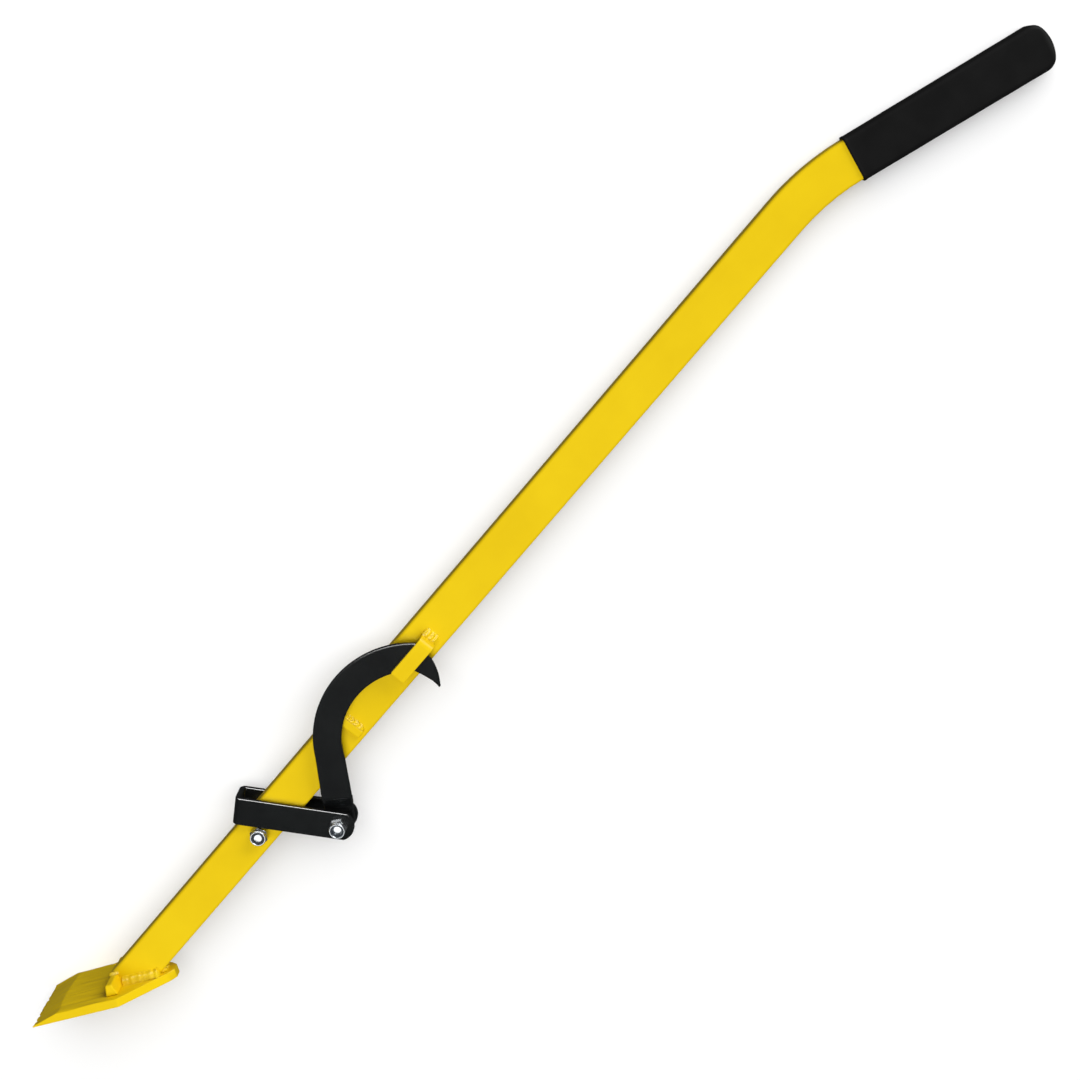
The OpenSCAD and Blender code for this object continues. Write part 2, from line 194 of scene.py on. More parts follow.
# %% Zinc plate
zinc, tree, shader, at = new_material("zinc_plated_steel", {"Metallic": 1.0})
cloud = add(tree, "ShaderNodeTexNoise", {"Scale": 350.0, "Detail": 3.0}, {"Vector": at})
shade = add(tree, "ShaderNodeValToRGB", links={"Fac": cloud.outputs["Fac"]})
shade.color_ramp.elements[0].position = 0.3
shade.color_ramp.elements[0].color = linear("#BFC4C9")
shade.color_ramp.elements[1].position = 0.7
shade.color_ramp.elements[1].color = linear("#DDE0E2")
tree.links.new(shade.outputs["Color"], shader.inputs["Base Color"])
rough = add(tree, "ShaderNodeMapRange", {"To Min": 0.18, "To Max": 0.36},
            {"Value": cloud.outputs["Fac"]})
tree.links.new(rough.outputs["Result"], shader.inputs["Roughness"])
scuff = add(tree, "ShaderNodeTexNoise", {"Scale": 900.0, "Detail": 2.0}, {"Vector": at})
wavy = add(tree, "ShaderNodeBump", {"Strength": 0.25, "Distance": 0.06 * MM},
           {"Height": scuff.outputs["Fac"]})
tree.links.new(wavy.outputs["Normal"], shader.inputs["Normal"])
print("made", zinc.name)

# %% [markdown]
# A lock nut holds a ring of nylon that grips the thread. Moulded nylon has a
# silky surface. This one is a dark slate blue with faint clouds of about 2 mm.
# The IOR of nylon is 1.53.

# %% Moulded nylon
nylon, tree, shader, at = new_material(
    "moulded_nylon", {"Metallic": 0.0, "IOR": 1.53, "Roughness": 0.42, "Specular IOR Level": 0.5})
cloud = add(tree, "ShaderNodeTexNoise", {"Scale": 500.0, "Detail": 2.0}, {"Vector": at})
shade = add(tree, "ShaderNodeValToRGB", links={"Fac": cloud.outputs["Fac"]})
shade.color_ramp.elements[0].color = linear("#0C131C")
shade.color_ramp.elements[1].color = linear("#18222E")
tree.links.new(shade.outputs["Color"], shader.inputs["Base Color"])
print("made", nylon.name)

# %% [markdown]
# The grip is plastisol: liquid PVC that a hot mould or the dipped tube itself
# turns to soft vinyl. It is matte, nearly black, and closed at the end. Its
# skin has a fine pebble of about 0.6 mm, drawn here at 1 mm, which breaks up
# every reflection. The IOR of PVC is 1.53, and the roughness is high.

# %% Black dipped vinyl
vinyl, tree, shader, at = new_material(
    "black_dipped_vinyl", {"Metallic": 0.0, "IOR": 1.53, "Specular IOR Level": 0.2})
cloud = add(tree, "ShaderNodeTexNoise", {"Scale": 35.0, "Detail": 4.0}, {"Vector": at})
shade = add(tree, "ShaderNodeValToRGB", links={"Fac": cloud.outputs["Fac"]})
shade.color_ramp.elements[0].position = 0.3
shade.color_ramp.elements[0].color = linear("#111111")
shade.color_ramp.elements[1].position = 0.7
shade.color_ramp.elements[1].color = linear("#171717")
tree.links.new(shade.outputs["Color"], shader.inputs["Base Color"])
rough = add(tree, "ShaderNodeMapRange", {"To Min": 0.52, "To Max": 0.66},
            {"Value": cloud.outputs["Fac"]})
tree.links.new(rough.outputs["Result"], shader.inputs["Roughness"])
pebble = add(tree, "ShaderNodeTexNoise", {"Scale": 1000.0, "Detail": 1.0}, {"Vector": at})
wavy = add(tree, "ShaderNodeBump", {"Strength": 0.5, "Distance": 0.1 * MM},
           {"Height": pebble.outputs["Fac"]})
tree.links.new(wavy.outputs["Normal"], shader.inputs["Normal"])
print("made", vinyl.name)

# %% [markdown]
# A real edge is never perfectly sharp: a saw, a grinder and a coat of paint all
# round it, and that narrow round is what catches the light. The tube's corners
# are round in the CAD already, so it only gets its paint. The other five parts
# have sharp edges, so they get modifiers and keep their own mesh: Weld joins the
# faces, Decimate clears the lines across flat faces, Bevel rounds every edge
# steeper than 35 degrees, and Weighted Normal keeps the big faces flat. Bevel
# normally shrinks every round to suit the tightest edge. The hook and the loop
# have tiny facets in their bores, so there that limit is switched off.

# %% Soften the CAD parts
ROUND_STEPS = 3
ROUNDED_FROM = math.radians(35)


def soften(node, material, radius, clamp=True):
    part = nodes[node]
    part.data.materials.clear()
    part.data.materials.append(material)
    if radius:
        join = part.modifiers.new("join_faces", "WELD")
        join.merge_threshold = 0.01 * MM
        clear = part.modifiers.new("clear_flats", "DECIMATE")
        clear.decimate_type = "DISSOLVE"
        clear.angle_limit = math.radians(0.6)
        edge = part.modifiers.new("round_edges", "BEVEL")
        edge.width = radius * MM
        edge.segments = ROUND_STEPS
        edge.limit_method = "ANGLE"
        edge.angle_limit = ROUNDED_FROM
        edge.use_clamp_overlap = clamp
        flat = part.modifiers.new("flat_faces", "WEIGHTED_NORMAL")
        flat.keep_sharp = True


soften("lever_tube", powder_coat, 0)
for node, radius in (("stop_rib", 1.6), ("keeper_strap", 0.6), ("cross_stop", 1.8)):
    soften(node, powder_coat, radius)
soften("loop_strap", enamel, 0.8, clamp=False)
soften("log_hook", enamel, 1.5, clamp=False)
print("softened edges on", sum(1 for n in nodes.values() if n.modifiers), "parts")

# %% [markdown]
# Most new pieces are lofts: rings of points one after another, joined by faces.
# One function joins the rings, and another makes the object, turns its faces
# outwards, shades it smooth apart from its sharp edges, attaches it to the body
# that it moves with, and hides the CAD part that it stands for.

# %% Lofts and pieces
def loft(rings, closed_ends=True):
    count = len(rings[0])
    points = [point for ring in rings for point in ring]
    faces = []
    for i in range(len(rings) - 1):
        for j in range(count):
            k = (j + 1) % count
            faces.append((i * count + j, i * count + k, (i + 1) * count + k, (i + 1) * count + j))
    if closed_ends:
        faces.append(tuple(range(count)))
        faces.append(tuple(range(len(points) - count, len(points))))
    return points, faces


def piece(name, points, faces, material, body, replaced, sharp=40):
    mesh = bpy.data.meshes.new(name)
    mesh.from_pydata([tuple(p) for p in points], [], faces)
    work = bmesh.new()
    work.from_mesh(mesh)
    bmesh.ops.remove_doubles(work, verts=work.verts, dist=1e-7)
    bmesh.ops.recalc_face_normals(work, faces=work.faces)
    work.to_mesh(mesh)
    work.free()
    mesh.shade_smooth()
    mesh.set_sharp_from_angle(angle=math.radians(sharp))
    mesh.materials.append(material)
    made = bpy.data.objects.new(name, mesh)
    bpy.context.scene.collection.objects.link(made)
    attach(made, body)
    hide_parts(*replaced)
    print(name, "has", len(mesh.vertices), "points")


prism = loft([[mm(0, 0, z), mm(1, 0, z), mm(0, 1, z)] for z in (0, 1)])
print("check of the loft, faces between two triangles:", len(prism[1]))

# %% [markdown]
# The foot plate is 10 mm flat bar, 80 mm wide. Its front is ground to a blade
# with small teeth that bite into the saw cut, and its back is cut narrow. It is
# lofted from front to back: each ring is the plate's cross-section, a bar with
# rounded corners. Hot rolling leaves the top slightly uneven, so slow noises
# move it up and down by up to a third of a millimetre, the strongest one in
# streaks along the plate. A shallow mill seam runs from the bevel to the rib.

# %% Foot plate
PLATE_HALF, PLATE_T, PLATE_FRONT, PLATE_BACK = 40.0, 10.0, 86.5, 64.5
TAPER_FRONT, TAPER_BACK, HEEL_HALF = -8.7, -58.5, 11.25
BEVEL_START, BEVEL_LEN, EDGE_T = 56.5, 30, 0.8
TEETH_FROM, TOOTH_PITCH, TOOTH_DEPTH = 80, 10.0, 2.4
GROUND_WAVER, WORN, STREAK, SEAM = 2.5, 0.22, 0.6, 0.32
ACROSS, CALM_EDGE, PLATE_ROUND = 120, 3, 0.9


def plate_half(u):
    if u >= TAPER_FRONT:
        return PLATE_HALF
    if u >= TAPER_BACK:
        return HEEL_HALF + (u - TAPER_BACK) * (PLATE_HALF - HEEL_HALF) / (TAPER_FRONT - TAPER_BACK)
    return HEEL_HALF + (u - TAPER_BACK)


def plate_top(u, v):
    ground = u - BEVEL_START - GROUND_WAVER * noise.noise(Vector((0.03 * v, 1.5, 0.0)))
    flat = PLATE_T - max(0.0, ground) * (PLATE_T - EDGE_T) / BEVEL_LEN
    flat = max(flat, EDGE_T)
    worn = WORN * (0.5 + 0.5 * noise.noise(Vector((u, v, 3.0)) * 0.055))
    streak = STREAK * noise.noise(Vector((u * 0.03, v * 0.17, 9.0)))
    seam = SEAM * math.exp(-((v - 5.5 - 0.04 * u) / 0.9) ** 2) if 2 < u < BEVEL_START else 0
    fade = 1 if u <= BEVEL_START else max(0.15, 1 - (u - BEVEL_START) / BEVEL_LEN)
    return flat - (worn + streak + seam) * fade


def round_corner(v, w, r, degrees):
    return [(v + r * math.cos(math.radians(a)), w + r * math.sin(math.radians(a))) for a in degrees]


def plate_ring(u):
    half = plate_half(u)
    thick = plate_top(u, 0)
    r = min(PLATE_ROUND, thick * 0.4)
    ring = [(-half + r + (2 * half - 2 * r) * i / ACROSS, 0.0) for i in range(ACROSS + 1)]
    ring += round_corner(half - r, r, r, range(-75, 0, 25))
    ring += round_corner(half - r, thick - r, r, range(0, 90, 25))
    for i in range(ACROSS + 1):
        v = half - r - (2 * half - 2 * r) * i / ACROSS
        near_edge = min(1, (half - r - abs(v)) / CALM_EDGE)
        ring.append((v, thick + (plate_top(u, v) - thick) * near_edge))
    ring += round_corner(-half + r, thick - r, r, range(105, 181, 25))
    ring += round_corner(-half + r, r, r, range(180, 270, 25))
    return ring


def tooth(u, v):
    if u < TEETH_FROM:
        return u
    nearest = round((v + PLATE_HALF) / TOOTH_PITCH)
    gap = abs(v + PLATE_HALF - nearest * TOOTH_PITCH)
    inside = 0 < nearest < 2 * PLATE_HALF / TOOTH_PITCH
    cut = max(0.0, TOOTH_DEPTH - gap) if inside else 0.0
    shrink = (PLATE_FRONT - cut - TEETH_FROM) / (PLATE_FRONT - TEETH_FROM)
    return TEETH_FROM + (u - TEETH_FROM) * shrink


steps = [-PLATE_BACK, -64.0, -63, -61, TAPER_BACK, -58] + list(range(-56, -9, 2))
steps += [TAPER_FRONT, -8] + list(range(-6, 56, 2))
steps += [56, BEVEL_START, 57] + list(range(58, 81, 2))
steps += [81.5, 83, 84.5, 85.8, PLATE_FRONT]
rings = []
for u in steps:
    rings.append([on_foot @ mm(tooth(u, v), w, v) for v, w in plate_ring(u)])
points, faces = loft(rings)
piece("foot_blade", points, faces, powder_coat, "lever", ["foot_plate"], 30)

# %% [markdown]
# A weld bead is a row of frozen puddles. Each puddle ends in a curved ripple,
# the bead stands a little prouder than a straight fillet, and under powder coat
# the ripples melt together to long soft lumps. The function sweeps a bulging
# corner profile from start to end. The lumps come from a wave along the bead,
# bent like a fish scale, and a seeded noise moves them, so that no two are
# alike. The two legs say along which faces the bead lies and how wide it is.

# %% Weld beads
TUBE_FACE = 10
BEAD_STEP, BEAD_SIDES, END_TAPER = 0.25, 16, 2.5


def weld_bead(name, replaced, start, end, leg_a, leg_b,
              pitch=5.0, seed=0.0, swell=0.22, lump=0.16, drift=0.08):
    length = (end - start).length / MM
    along = (end - start).normalized()
    count = int(length / BEAD_STEP)
    rings = []
    for i in range(count + 1):
        s = length * i / count
        taper = math.sqrt(max(0.02, min(1.0, s / END_TAPER, (length - s) / END_TAPER)))
        shift = 1.6 * noise.noise(Vector((s * 0.11, seed, 1.0)))
        edge = 1 + 0.10 * noise.noise(Vector((s * 0.25, seed, 5.0)))
        spine = start + along * s * MM
        ring = []
        for j in range(BEAD_SIDES + 1):
            angle = math.pi / 2 * j / BEAD_SIDES
            crown = math.sin(2 * angle)
            flat = 1 / (math.cos(angle) + math.sin(angle))
            bend = 1.5 * (1 - (2 * j / BEAD_SIDES - 1) ** 2)
            wave = 0.5 + 0.5 * math.cos(2 * math.pi * (s + bend + shift) / pitch)
            wander = drift * noise.noise(Vector((s * 1.1 / pitch, j * 0.12, seed)))
            bulge = crown * (swell + lump * (wave - 0.5) + wander)
            r = (flat + bulge) * (0.45 + 0.55 * taper) * edge
            ring.append(spine + leg_a * math.cos(angle) * r + leg_b * math.sin(angle) * r)
        ring.append(spine - (leg_a + leg_b) * 0.05)
        rings.append(ring)
    points, faces = loft(rings)
    piece(name, points, faces, powder_coat, "lever", replaced, 60)


foot_turn = on_foot.to_3x3()
foot_x = foot_turn @ Vector((1, 0, 0))
foot_y = foot_turn @ Vector((0, 1, 0))
HEEL, RIB_TOP = -49.4, 22.8
KEEPER_END, CROSS_STOP_SIDE = 521.8, 403.5
for side, name, node in ((1, "front_foot_bead", "front_foot_weld"),
                         (-1, "back_foot_bead", "back_foot_weld")):
    weld_bead(name, [node],
              on_foot @ mm(HEEL - 1.5, PLATE_T, side * TUBE_FACE),
              on_foot @ mm(-8.0, PLATE_T, side * TUBE_FACE),
              foot_y * 8.0 * MM, Z_UP * side * 6.0 * MM,
              pitch=14.0, seed=side + 2.0, swell=0.24, lump=0.03, drift=0.16)
tube_down = foot_x * -math.cos(FOOT_ANGLE) + foot_y * math.sin(FOOT_ANGLE)
weld_bead("heel_bead", ["heel_weld"],
          on_foot @ mm(HEEL, PLATE_T, -7.5), on_foot @ mm(HEEL, PLATE_T, 7.5),
          foot_x * -8 * MM, tube_down * 8 * MM, seed=7.0, swell=0.1)
for side, name in ((1, "rib_bead_front"), (-1, "rib_bead_back")):
    weld_bead(name, ["rib_weld"],
              on_foot @ mm(-8.5, RIB_TOP, side * TUBE_FACE),
              on_foot @ mm(2.2, RIB_TOP, side * TUBE_FACE),
              foot_y * 2.4 * MM, Z_UP * side * 2.6 * MM,
              pitch=9.0, seed=10.0 + side, swell=0.02, lump=0.0, drift=0.06)
weld_bead("keeper_bead", ["keeper_weld"],
          mm(KEEPER_END, -12.4, TUBE_FACE), mm(KEEPER_END, 5.0, TUBE_FACE),
          mm(8.5, 0, 0), mm(0, 0, 4.6), pitch=4.4, seed=13.0, swell=0.10, lump=0.22)
weld_bead("cross_stop_bead", ["cross_stop_weld"],
          mm(CROSS_STOP_SIDE, -14.0, TUBE_FACE), mm(CROSS_STOP_SIDE, 14.0, TUBE_FACE),
          mm(4.4, 0, 0), mm(0, 0, 3.8), pitch=4.8, seed=15.0, swell=0.12, lump=0.3)

# %% [markdown]
# Hexagon parts start as round bar in a forging die, and their corners are then
# turned to a cone, which leaves the curved lines on a nut's faces. A lathe with
# a trick gives exactly that: at every angle the radius is the hexagon's, but
# never more than the cone's at that height.

# %% Hexagons with turned corners
ROUND_POINTS = 120
HEX_FLATS = 17.0
FACE_R = 8.05
CONE_SLOPE = 1.9
NO_LIMIT = 20
CORNER_STEPS = [0, 0.15, 0.3, 0.5, 0.7, 0.95]


def hexagon_ring(limit, z, turn):
    ring = []
    for i in range(ROUND_POINTS):
        angle = 2 * math.pi * i / ROUND_POINTS
        off = (angle % (math.pi / 3)) - math.pi / 6
        r = min(HEX_FLATS / 2 / math.cos(off), limit)
        ring.append(mm(r * math.cos(angle + turn), r * math.sin(angle + turn), z))
    return ring


def round_ring(r, z):
    angles = [2 * math.pi * i / ROUND_POINTS for i in range(ROUND_POINTS)]
    return [mm(r * math.cos(angle), r * math.sin(angle), z) for angle in angles]


def turned_corner(low, high, turn):
    rings = [hexagon_ring(FACE_R + h * CONE_SLOPE, low + h, turn) for h in CORNER_STEPS]
    rings += [hexagon_ring(FACE_R + h * CONE_SLOPE, high - h, turn)
              for h in reversed(CORNER_STEPS)]
    return rings


print("across the flats and the corners in mm:", HEX_FLATS,
      round(HEX_FLATS / math.cos(math.pi / 6), 1))

# %% [markdown]
# The bolts are M10 with a hexagon head. The thread is a helix with a pitch of
# 1.5 mm: walking round the shaft, the ridge climbs one pitch a turn. So the
# radius at each point depends on its height minus its angle's share of the
# pitch. The head carries no marks. The CAD bolt is 10 mm thick all along, and
# the modelled one has its thread where a real one does, near the nut.

# %% Bolts
THREAD_PITCH, THREAD_DEPTH, RUN_IN = 1.5, 0.85, 2.0
BOLT_R, TIP_R, TIP_SLOPE = 5.0, 3.9, 0.95
HEAD_T, WASHER_FACE_R = 6.4, 8.0
HEAD_DISH = ((0.5, 6.1), (6.6, 6.1), (6.9, 6.25))


def bolt(name, node, body, centre, under_head, length, turn, thread_from):
    head_top = under_head - HEAD_T
    rings = [round_ring(r, under_head - z) for r, z in HEAD_DISH]
    rings += [hexagon_ring(FACE_R - 0.35, head_top, turn)]
    rings += [hexagon_ring(FACE_R + h * CONE_SLOPE, head_top + h, turn) for h in CORNER_STEPS]
    rings += [hexagon_ring(NO_LIMIT, under_head - 0.4, turn)]
    rings += [round_ring(WASHER_FACE_R + 0.1, under_head - 0.35)]
    rings += [round_ring(WASHER_FACE_R, under_head), round_ring(BOLT_R, under_head)]
    rings += [round_ring(BOLT_R, under_head + 0.5)]
    thread_start = under_head + thread_from
    top = under_head + length
    rings.append(round_ring(BOLT_R, thread_start - 0.1))
    step = THREAD_PITCH / 8
    z = thread_start
    while z < top - 0.05:
        ring = []
        for i in range(ROUND_POINTS):
            angle = 2 * math.pi * i / ROUND_POINTS
            phase = ((z - thread_start) / THREAD_PITCH - i / ROUND_POINTS) % 1.0
            depth = THREAD_DEPTH * (1 - abs(2 * phase - 1))
            run_in = min(1.0, (z - thread_start) / RUN_IN)
            limit = TIP_R + 0.15 + (top - z) * TIP_SLOPE
            r = min(BOLT_R - depth * run_in, limit)
            ring.append(mm(r * math.cos(angle), r * math.sin(angle), z))
        rings.append(ring)
        z += step
    rings += [round_ring(TIP_R, top), round_ring(0.4, top)]
    points, faces = loft([[centre + p for p in ring] for ring in rings])
    piece(name, points, faces, zinc, body, [node], 32)


STOP = mm(244.4, -3.3, 0)
PIVOT = mm(306, -58.8, 0)
LOOP_FACE = 16.3
STOP_TURN = math.radians(-73.9)
bolt("stop_bolt_threaded", "stop_bolt", "lever", STOP, -TUBE_FACE, 30.0, STOP_TURN, 12.0)
bolt("pivot_bolt_threaded", "pivot_bolt", "loop", PIVOT, -LOOP_FACE, 40.0, 0.0, 18.5)

# %% [markdown]
# The nut is a hexagon below and a round collar above. After the nylon ring is
# dropped in, the collar's lip is rolled inwards over it, so the top is a bright
# rounded rim. The profile runs from the washer face up the outside, over the
# lip and down to the ring. The ring itself bulges slightly between the rim and
# the thread.

# %% Lock nuts and their nylon rings
NUT_HEX_T, NUT_BORE_R, NUT_FACE_R = 6.4, 5.05, 7.9
COLLAR_R, COLLAR_TOP, SEAT_R, SEAT_LOW = 8.0, 9.2, 6.5, 8.3
LIP_R, LIP_UP, LIP_HALF_W, LIP_HALF_T = 7.35, 10.05, 0.85, 0.95
NYLON_IN, NYLON_OUT, NYLON_LOW, NYLON_TOP = 5.1, 6.45, 8.35, 9.7
CROWN_R, CROWN_UP, CROWN_HALF_W, CROWN_HALF_T = 5.78, 9.8, 0.65, 0.35


def lock_nut(name, node, body, centre, base, turn):
    rings = [round_ring(NUT_BORE_R, base), round_ring(NUT_FACE_R, base)]
    rings += turned_corner(base, base + NUT_HEX_T, turn)
    rings += [round_ring(COLLAR_R + 0.1, base + NUT_HEX_T)]
    rings += [round_ring(COLLAR_R - 0.1, base + NUT_HEX_T + 0.4)]
    rings += [round_ring(COLLAR_R, base + COLLAR_TOP)]
    for angle in range(0, 181, 12):
        a = math.radians(angle)
        rings.append(round_ring(LIP_R + LIP_HALF_W * math.cos(a),
                                base + LIP_UP + LIP_HALF_T * math.sin(a)))
    rings += [round_ring(SEAT_R, base + LIP_UP - 0.45), round_ring(SEAT_R, base + SEAT_LOW)]
    rings += [round_ring(NUT_BORE_R, base + SEAT_LOW), round_ring(NUT_BORE_R, base)]
    points, faces = loft([[centre + p for p in ring] for ring in rings], closed_ends=False)
    piece(name, points, faces, zinc, body, [node], 32)


def nylon_ring(name, node, body, centre, base):
    rings = [round_ring(NYLON_IN, base + NYLON_LOW), round_ring(NYLON_OUT, base + NYLON_LOW)]
    rings += [round_ring(NYLON_OUT, base + NYLON_TOP)]
    for angle in range(0, 181, 20):
        a = math.radians(angle)
        rings.append(round_ring(CROWN_R + CROWN_HALF_W * math.cos(a),
                                base + CROWN_UP + CROWN_HALF_T * math.sin(a)))
    rings += [round_ring(NYLON_IN, base + NYLON_TOP), round_ring(NYLON_IN, base + NYLON_LOW)]
    points, faces = loft([[centre + p for p in ring] for ring in rings], closed_ends=False)
    piece(name, points, faces, nylon, body, [node])


lock_nut("stop_lock_nut", "stop_nut", "lever", STOP, TUBE_FACE, STOP_TURN)
lock_nut("pivot_lock_nut", "pivot_nut", "loop", PIVOT, LOOP_FACE, math.radians(20))
nylon_ring("stop_insert", "stop_nut_ring", "lever", STOP, TUBE_FACE)
nylon_ring("pivot_insert", "pivot_nut_ring", "loop", PIVOT, LOOP_FACE)

# %% [markdown]
# The grip is a soft sleeve on the rectangular tube. Its section is a rectangle
# with generous corners, its end is a dome, and its mouth has a slightly thicker
# lip where the vinyl gathered. Vinyl shrinks onto the flats, so the wide faces
# sink by a few tenths of a millimetre in the middle. A loft along the handle
# gives all of it. The mouth is drawn as a real opening round the tube.

# %% Grip
GRIP_START, GRIP_LEN, GRIP_HALF_W, GRIP_HALF_T = 0.2, 198.3, 22.0, 12.0
DOME_R, DOME_CORNER_R, DOME_EDGE_R = 32, 13, 7
BODY_FROM, BODY_TO, SKIN_IN, SKIN_SINK, CORNER_R = 4.2, 166.0, 0.3, 0.35, 5.0
CORNER_SIDES, FLAT_SIDES, BODY_RINGS, DOME_RINGS = 8, 10, 45, 40
MOUTH = ((1.9, 9.0), (1.9, 0.9), (1.5, 0.35))
LIP = ((0.2, -0.8), (0.35, -0.3), (0.8, -0.05), (1.6, 0.0), (2.6, -0.05), (3.3, -0.2), (4.2, -0.3))


def grip_section(half_w, half_t, r, sink):
    r = min(r, half_w * 0.98, half_t * 0.98)
    ring = []
    for quarter, (sy, sz) in enumerate(((1, 1), (-1, 1), (-1, -1), (1, -1))):
        for i in range(CORNER_SIDES + 1):
            a = math.radians(90 * quarter + 90 * i / CORNER_SIDES)
            ring.append((sy * (half_w - r) + r * math.cos(a), sz * (half_t - r) + r * math.sin(a)))
        y0, z0 = ring[-1]
        if quarter % 2 == 0:
            reach = -2 * sy * (half_w - r)
            for i in range(1, FLAT_SIDES):
                t = i / FLAT_SIDES
                ring.append((y0 + reach * t, z0 - math.copysign(sink * math.sin(math.pi * t), z0)))
        else:
            reach = -2 * sz * (half_t - r)
            for i in range(1, FLAT_SIDES):
                ring.append((y0, z0 + reach * i / FLAT_SIDES))
    return ring


def dome_half_w(x):
    end = GRIP_START + GRIP_LEN
    dome_x = end - DOME_R
    reach = DOME_R - DOME_CORNER_R
    corner_y = GRIP_HALF_W - DOME_CORNER_R
    corner_x = dome_x + math.sqrt(reach ** 2 - corner_y ** 2)
    if x <= corner_x:
        return GRIP_HALF_W
    tangent_x = corner_x + DOME_CORNER_R * (corner_x - dome_x) / reach
    if x <= tangent_x:
        return corner_y + math.sqrt(max(0.0, DOME_CORNER_R ** 2 - (x - corner_x) ** 2))
    return math.sqrt(max(0.0, DOME_R ** 2 - (x - dome_x) ** 2))


def dome_half_t(x):
    start = GRIP_START + GRIP_LEN - DOME_EDGE_R
    if x <= start:
        return GRIP_HALF_T
    return GRIP_HALF_T - DOME_EDGE_R + math.sqrt(max(0.0, DOME_EDGE_R ** 2 - (x - start) ** 2))


rings = []
for inset, x in MOUTH:
    ring = grip_section(GRIP_HALF_W - inset, GRIP_HALF_T - inset, 3.2, 0.0)
    rings.append([on_handle @ mm(x, y, z) for y, z in ring])
for x, proud in LIP:
    ring = grip_section(GRIP_HALF_W + proud, GRIP_HALF_T + proud, CORNER_R, 0.0)
    rings.append([on_handle @ mm(x, y, z) for y, z in ring])
for i in range(1, BODY_RINGS + 1):
    x = BODY_FROM + (BODY_TO - BODY_FROM) * i / BODY_RINGS
    sink = SKIN_SINK * min(1, (x - 4) / 12)
    skin = 0.12 * noise.noise(Vector((x * 0.03, 2.0, 0))) - SKIN_IN
    ring = grip_section(GRIP_HALF_W + skin, GRIP_HALF_T + skin, CORNER_R, sink)
    rings.append([on_handle @ mm(x, y, z) for y, z in ring])
for i in range(1, DOME_RINGS + 1):
    x = BODY_TO + (GRIP_LEN + GRIP_START - BODY_TO) * math.sin(math.pi / 2 * i / DOME_RINGS)
    fade = 1 - i / DOME_RINGS
    half_w = max(1.0, dome_half_w(x) - SKIN_IN * fade)
    half_t = max(1.0, dome_half_t(x) - SKIN_IN * fade)
    ring = grip_section(half_w, half_t, CORNER_R, SKIN_SINK * fade)
    rings.append([on_handle @ mm(x, y, z) for y, z in ring])
points, faces = loft(rings)
piece("dipped_grip", points, faces, vinyl, "lever", ["grip_sleeve"], 50)

# %% [markdown]
# The lever lies on a pale floor, on the long edge of its plate and on the end
# of its grip, so the floor is a plane through two ends of that edge and the
# grip's underside. It is white, a shade under pure, with a hint of unevenness,
# and see-through from below, so that the underside can be looked at too.

# %% Floor
FLOOR_REACH = 30
FLOOR_GAP = 0.4 * MM
edge_front = on_foot @ mm(86.0, 0, -PLATE_HALF)
edge_back = on_foot @ mm(TAPER_FRONT, 0, -PLATE_HALF)
grip_low = on_handle @ mm(188, 0, -12.3)
floor_up = (edge_back - edge_front).cross(grip_low - edge_front).normalized()
if floor_up.z < 0:
    floor_up = -floor_up
floor_x = grip_low - edge_back
floor_x = (floor_x - floor_up * floor_x.dot(floor_up)).normalized()
floor_y = floor_up.cross(floor_x)
middle = mm(620, -10, 0)
middle -= floor_up * ((middle - edge_back).dot(floor_up) + FLOOR_GAP)
quarters = ((-1, -1), (1, -1), (1, 1), (-1, 1))
corners = [middle + (floor_x * a + floor_y * b) * FLOOR_REACH for a, b in quarters]
floor_mesh = bpy.data.meshes.new("floor")
floor_mesh.from_pydata([tuple(c) for c in corners], [], [(0, 1, 2, 3)])
floor = bpy.data.objects.new("floor", floor_mesh)
bpy.context.scene.collection.objects.link(floor)
floor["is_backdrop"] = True
print("the floor leans", round(math.degrees(floor_up.angle(Z_UP)), 2), "degrees")

paper, tree, shader, at = new_material(
    "white_paper_floor",
    {"Metallic": 0.0, "IOR": 1.45, "Roughness": 0.9, "Specular IOR Level": 0.1})
cloud = add(tree, "ShaderNodeTexNoise", {"Scale": 1.5, "Detail": 2.0}, {"Vector": at})
shade = add(tree, "ShaderNodeValToRGB", links={"Fac": cloud.outputs["Fac"]})
shade.color_ramp.elements[0].color = linear("#FCFCFC")
shade.color_ramp.elements[1].color = linear("#FFFFFF")
tree.links.new(shade.outputs["Color"], shader.inputs["Base Color"])
clear = add(tree, "ShaderNodeBsdfTransparent")
side = add(tree, "ShaderNodeNewGeometry")
both = add(tree, "ShaderNodeMixShader",
           links={0: side.outputs["Backfacing"],
                  1: shader.outputs["BSDF"], 2: clear.outputs["BSDF"]})
output = [n for n in tree.nodes if n.type == "OUTPUT_MATERIAL"][0]
tree.links.new(both.outputs["Shader"], output.inputs["Surface"])
floor_mesh.materials.append(paper)
floor.visible_diffuse = False
floor.visible_glossy = False

# %% [markdown]
# The light is a plain studio. A large softbox overhead lights the wide faces.
# Glossy rays don't see it, which does what a polarising filter does for a
# photographer: the paint shows its colour without glare. A low lamp from the
# grip's end lights the top of the foot plate and leaves the long sides dark.
# The gloss is then drawn on purpose. Two cards that only glossy rays see give
# the enamel the thin bright line along its rounded edges and the welds their
# shine, and a white card overhead lights the zinc and the nylon. The floor has
# lamps of its own, which set how its shadow falls. Light linking keeps each
# lamp to its pieces. A pale world fills what is left. Glossy rays see it
# dimmed, so that it doesn't wash out the paint, and the camera sees it as pure
# white.

# %% Lights
def linked(name, pieces):
    group = bpy.data.collections.new(name)
    for part in pieces:
        group.objects.link(part)
    return group


def shown(material):
    return [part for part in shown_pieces() if part.data.materials[0] == material]


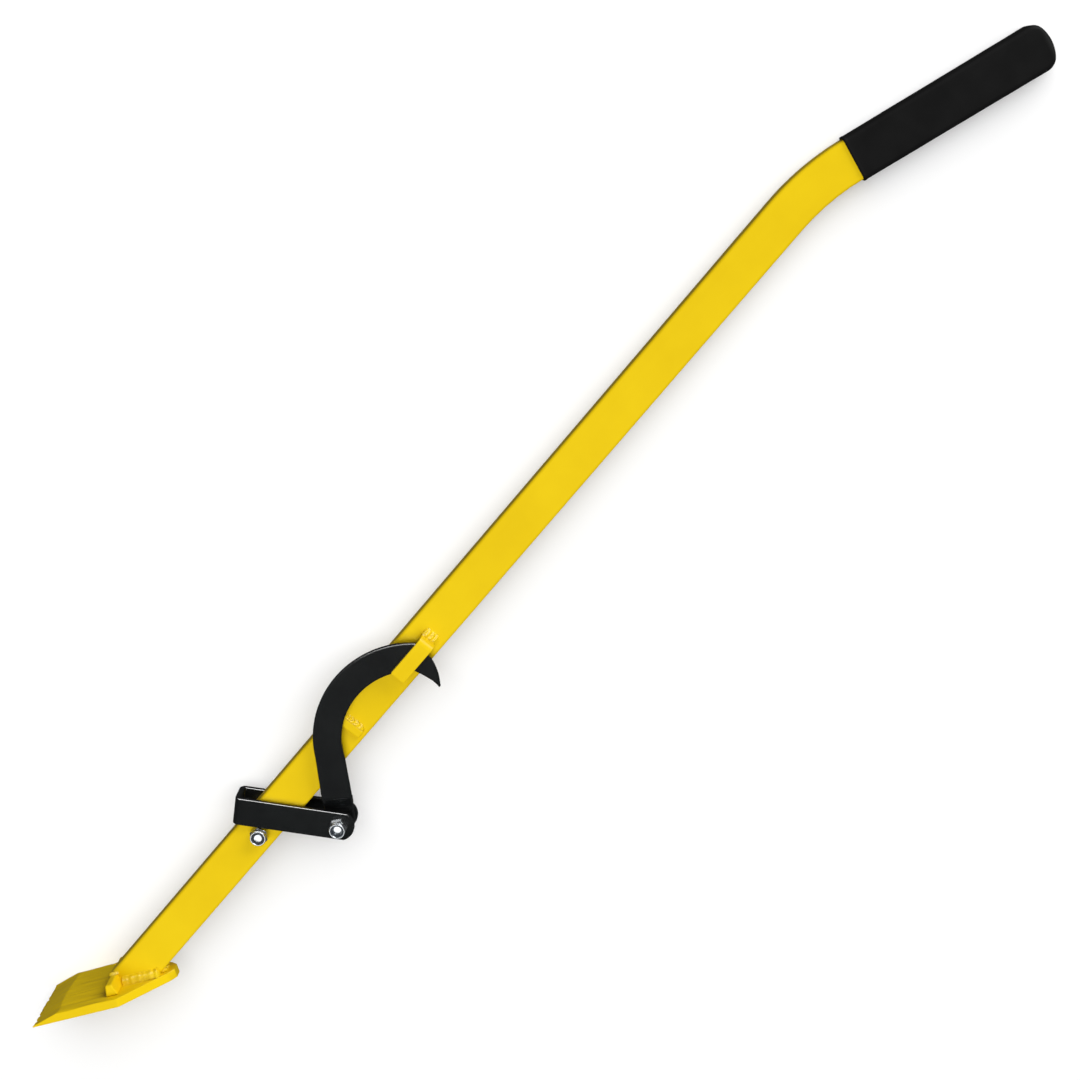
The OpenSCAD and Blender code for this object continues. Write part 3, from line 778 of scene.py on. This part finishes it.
def add_lamp(name, kind, location, target, energy, lights_up, **settings):
    data = bpy.data.lights.new(name, kind)
    data.energy = energy
    for key, value in settings.items():
        setattr(data, key, value)
    lamp = bpy.data.objects.new(name, data)
    bpy.context.scene.collection.objects.link(lamp)
    lamp.location = location
    lamp.rotation_euler = (Vector(target) - lamp.location).to_track_quat("-Z", "Y").to_euler()
    lamp.light_linking.receiver_collection = lights_up
    return lamp


beads = [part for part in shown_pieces() if part.name.endswith(("_bead", "_bead_front", "_bead_back"))]
lit_lever = linked("lit_lever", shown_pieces())
lit_floor = linked("lit_floor", [floor])
lit_enamel = linked("lit_enamel", shown(enamel))
lit_beads = linked("lit_beads", beads)
lit_zinc = linked("lit_zinc", shown(zinc) + shown(nylon))

key = add_lamp("key_softbox", "SUN", (-0.35, -0.15, 1.0), (0, 0, 0), 2.25, lit_lever,
               angle=math.radians(55))
key.visible_glossy = False
add_lamp("grip_end_fill", "SUN", (3.0, 0.2, 0.85), (0, 0, 0), 2.4, lit_lever,
         angle=math.radians(40))
for name, power, height, lights_up in (("edge_card", 620, 2.2, lit_enamel),
                                       ("bead_card", 90, 1.0, lit_beads)):
    card = add_lamp(name, "AREA", (1.43, 1.4, 1.41), (0.4, 0, 0), power, lights_up,
                    shape="RECTANGLE", size=2.6, size_y=height)
    card.visible_diffuse = False
add_lamp("zinc_card", "AREA", (-0.4, -0.2, 2.0), (0.28, 0, 0), 34, lit_zinc,
         shape="RECTANGLE", size=2.4, size_y=2.4)
add_lamp("floor_shadow_lamp", "SUN", (1.35, 0.5, 1.7), (0, 0, 0), 2.9, lit_floor,
         angle=math.radians(82))
add_lamp("floor_fill_lamp", "SUN", (0, 0, 3.0), (0, 0, 0), 0.75, lit_floor,
         angle=math.radians(10), use_shadow=False)

world = bpy.data.worlds.new("pale_studio")
bpy.context.scene.world = world
world.use_nodes = True
world.node_tree.nodes.clear()
ray = add(world.node_tree, "ShaderNodeLightPath")
dim = add(world.node_tree, "ShaderNodeMapRange", {"To Min": 0.16, "To Max": 0.05},
          {"Value": ray.outputs["Is Glossy Ray"]})
level = add(world.node_tree, "ShaderNodeMath", {"operation": "MAXIMUM"},
            {0: dim.outputs["Result"], 1: ray.outputs["Is Camera Ray"]})
sky = add(world.node_tree, "ShaderNodeBackground", {"Color": (1, 1, 1, 1)},
          {"Strength": level.outputs["Value"]})
add(world.node_tree, "ShaderNodeOutputWorld", links={"Surface": sky.outputs["Background"]})

# %% [markdown]
# The camera stands where the photographer's did. Its place and direction were
# worked out from the lever's own straight edges: they give the lens, 52 mm on a
# 36 mm sensor, and a point about one and a half metres above the lever, nearer
# to the grip than to the foot. The picture is square. The view transform is
# Standard, so that a colour renders as it is written.

# %% Camera
camera_data = bpy.data.cameras.new("camera")
camera_data.sensor_width = 36.0
camera_data.lens = 52.01
camera = bpy.data.objects.new("camera", camera_data)
bpy.context.scene.collection.objects.link(camera)
picture_right = Vector((0.63842, -0.7695, -0.0172)).normalized()
picture_up = Vector((0.73751, 0.61797, -0.2724)).normalized()
backwards = picture_right.cross(picture_up).normalized()
picture_up = backwards.cross(picture_right)
camera.matrix_world = place(picture_right, picture_up, backwards, mm(1001.2, 219.4, 1459.1))
bpy.context.scene.camera = camera
bpy.context.scene.view_settings.view_transform = "Standard"
print("the camera looks along", [round(-v, 3) for v in backwards])
